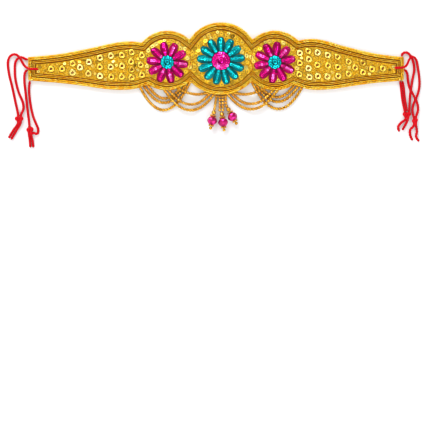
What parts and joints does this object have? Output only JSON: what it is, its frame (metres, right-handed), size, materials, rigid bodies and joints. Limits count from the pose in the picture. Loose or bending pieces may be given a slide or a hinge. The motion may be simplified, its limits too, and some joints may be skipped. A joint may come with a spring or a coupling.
{
  "type": "oddiyanam waist belt",
  "caption": "Stiffened cloth waist belt front with scalloped medallions and tapering wings, edged with braid, with sequin flowers, swags of beads, crystal drops and tie cords.",
  "frame": {"origin": "on the flat back of the cloth, right behind the middle flower's centre", "axes": "+X along the belt towards the right tip as seen from its face, +Y towards its top edge, +Z out of its face"},
  "size_m": [0.4402, 0.1333, 0.0105],
  "materials": {
    "cloth": "stiffened cloth covered in yellow gold thread work and small sequins",
    "outer_braid": "rope-like gold braid with bright chevrons",
    "inner_braid": "flat gold herringbone braid",
    "magenta_sequins": "overlapping shiny magenta sequins",
    "teal_sequins": "overlapping shiny teal sequins",
    "gold_sequins": "metallized gold sequins",
    "gold_beads": "metallized gold beads, worn in places",
    "spacer": "small beaded ring of gilt metal",
    "crystal": "faceted magenta glass, tinted through",
    "thread": "red sewing thread",
    "cord": "twisted glossy red cord"
  },
  "bodies": {
    "root": {"belt_panel": "cloth", "outer_braid": "outer_braid", "inner_braid": "inner_braid", "left_petals": "magenta_sequins", "centre_petals": "teal_sequins", "right_petals": "magenta_sequins", "left_boss": "teal_sequins", "centre_boss": "magenta_sequins", "right_boss": "teal_sequins", "left_wing_sequins": "gold_sequins", "right_wing_sequins": "gold_sequins", "left_swag_1": "gold_beads", "left_swag_2": "gold_beads", "left_swag_3": "gold_beads", "centre_left_swag_1": "gold_beads", "centre_left_swag_2": "gold_beads", "centre_left_swag_3": "gold_beads", "centre_right_swag_1": "gold_beads", "centre_right_swag_2": "gold_beads", "centre_right_swag_3": "gold_beads", "right_swag_1": "gold_beads", "right_swag_2": "gold_beads", "right_swag_3": "gold_beads", "left_swag_threads": "thread", "centre_swag_threads": "thread", "right_swag_threads": "thread", "left_drop_beads": "gold_beads", "centre_drop_beads": "gold_beads", "right_drop_beads": "gold_beads", "left_drop_thread": "thread", "centre_drop_thread": "thread", "right_drop_thread": "thread", "left_large_bead": "gold_beads", "centre_large_bead": "gold_beads", "right_large_bead": "gold_beads", "left_upper_ring": "spacer", "centre_upper_ring": "spacer", "right_upper_ring": "spacer", "left_crystal": "crystal", "centre_crystal": "crystal", "right_crystal": "crystal", "left_lower_ring": "spacer", "centre_lower_ring": "spacer", "right_lower_ring": "spacer", "left_end_bead": "gold_beads", "centre_end_bead": "gold_beads", "right_end_bead": "gold_beads", "left_cord_a1": "cord", "left_cord_a2": "cord", "left_cord_b1": "cord", "left_cord_b2": "cord", "right_cord_c1": "cord", "right_cord_c2": "cord", "right_cord_d1": "cord", "right_cord_d2": "cord", "left_knot_a": "cord", "left_knot_b": "cord", "right_knot_c": "cord", "right_knot_d": "cord"}
  },
  "joints": []
}
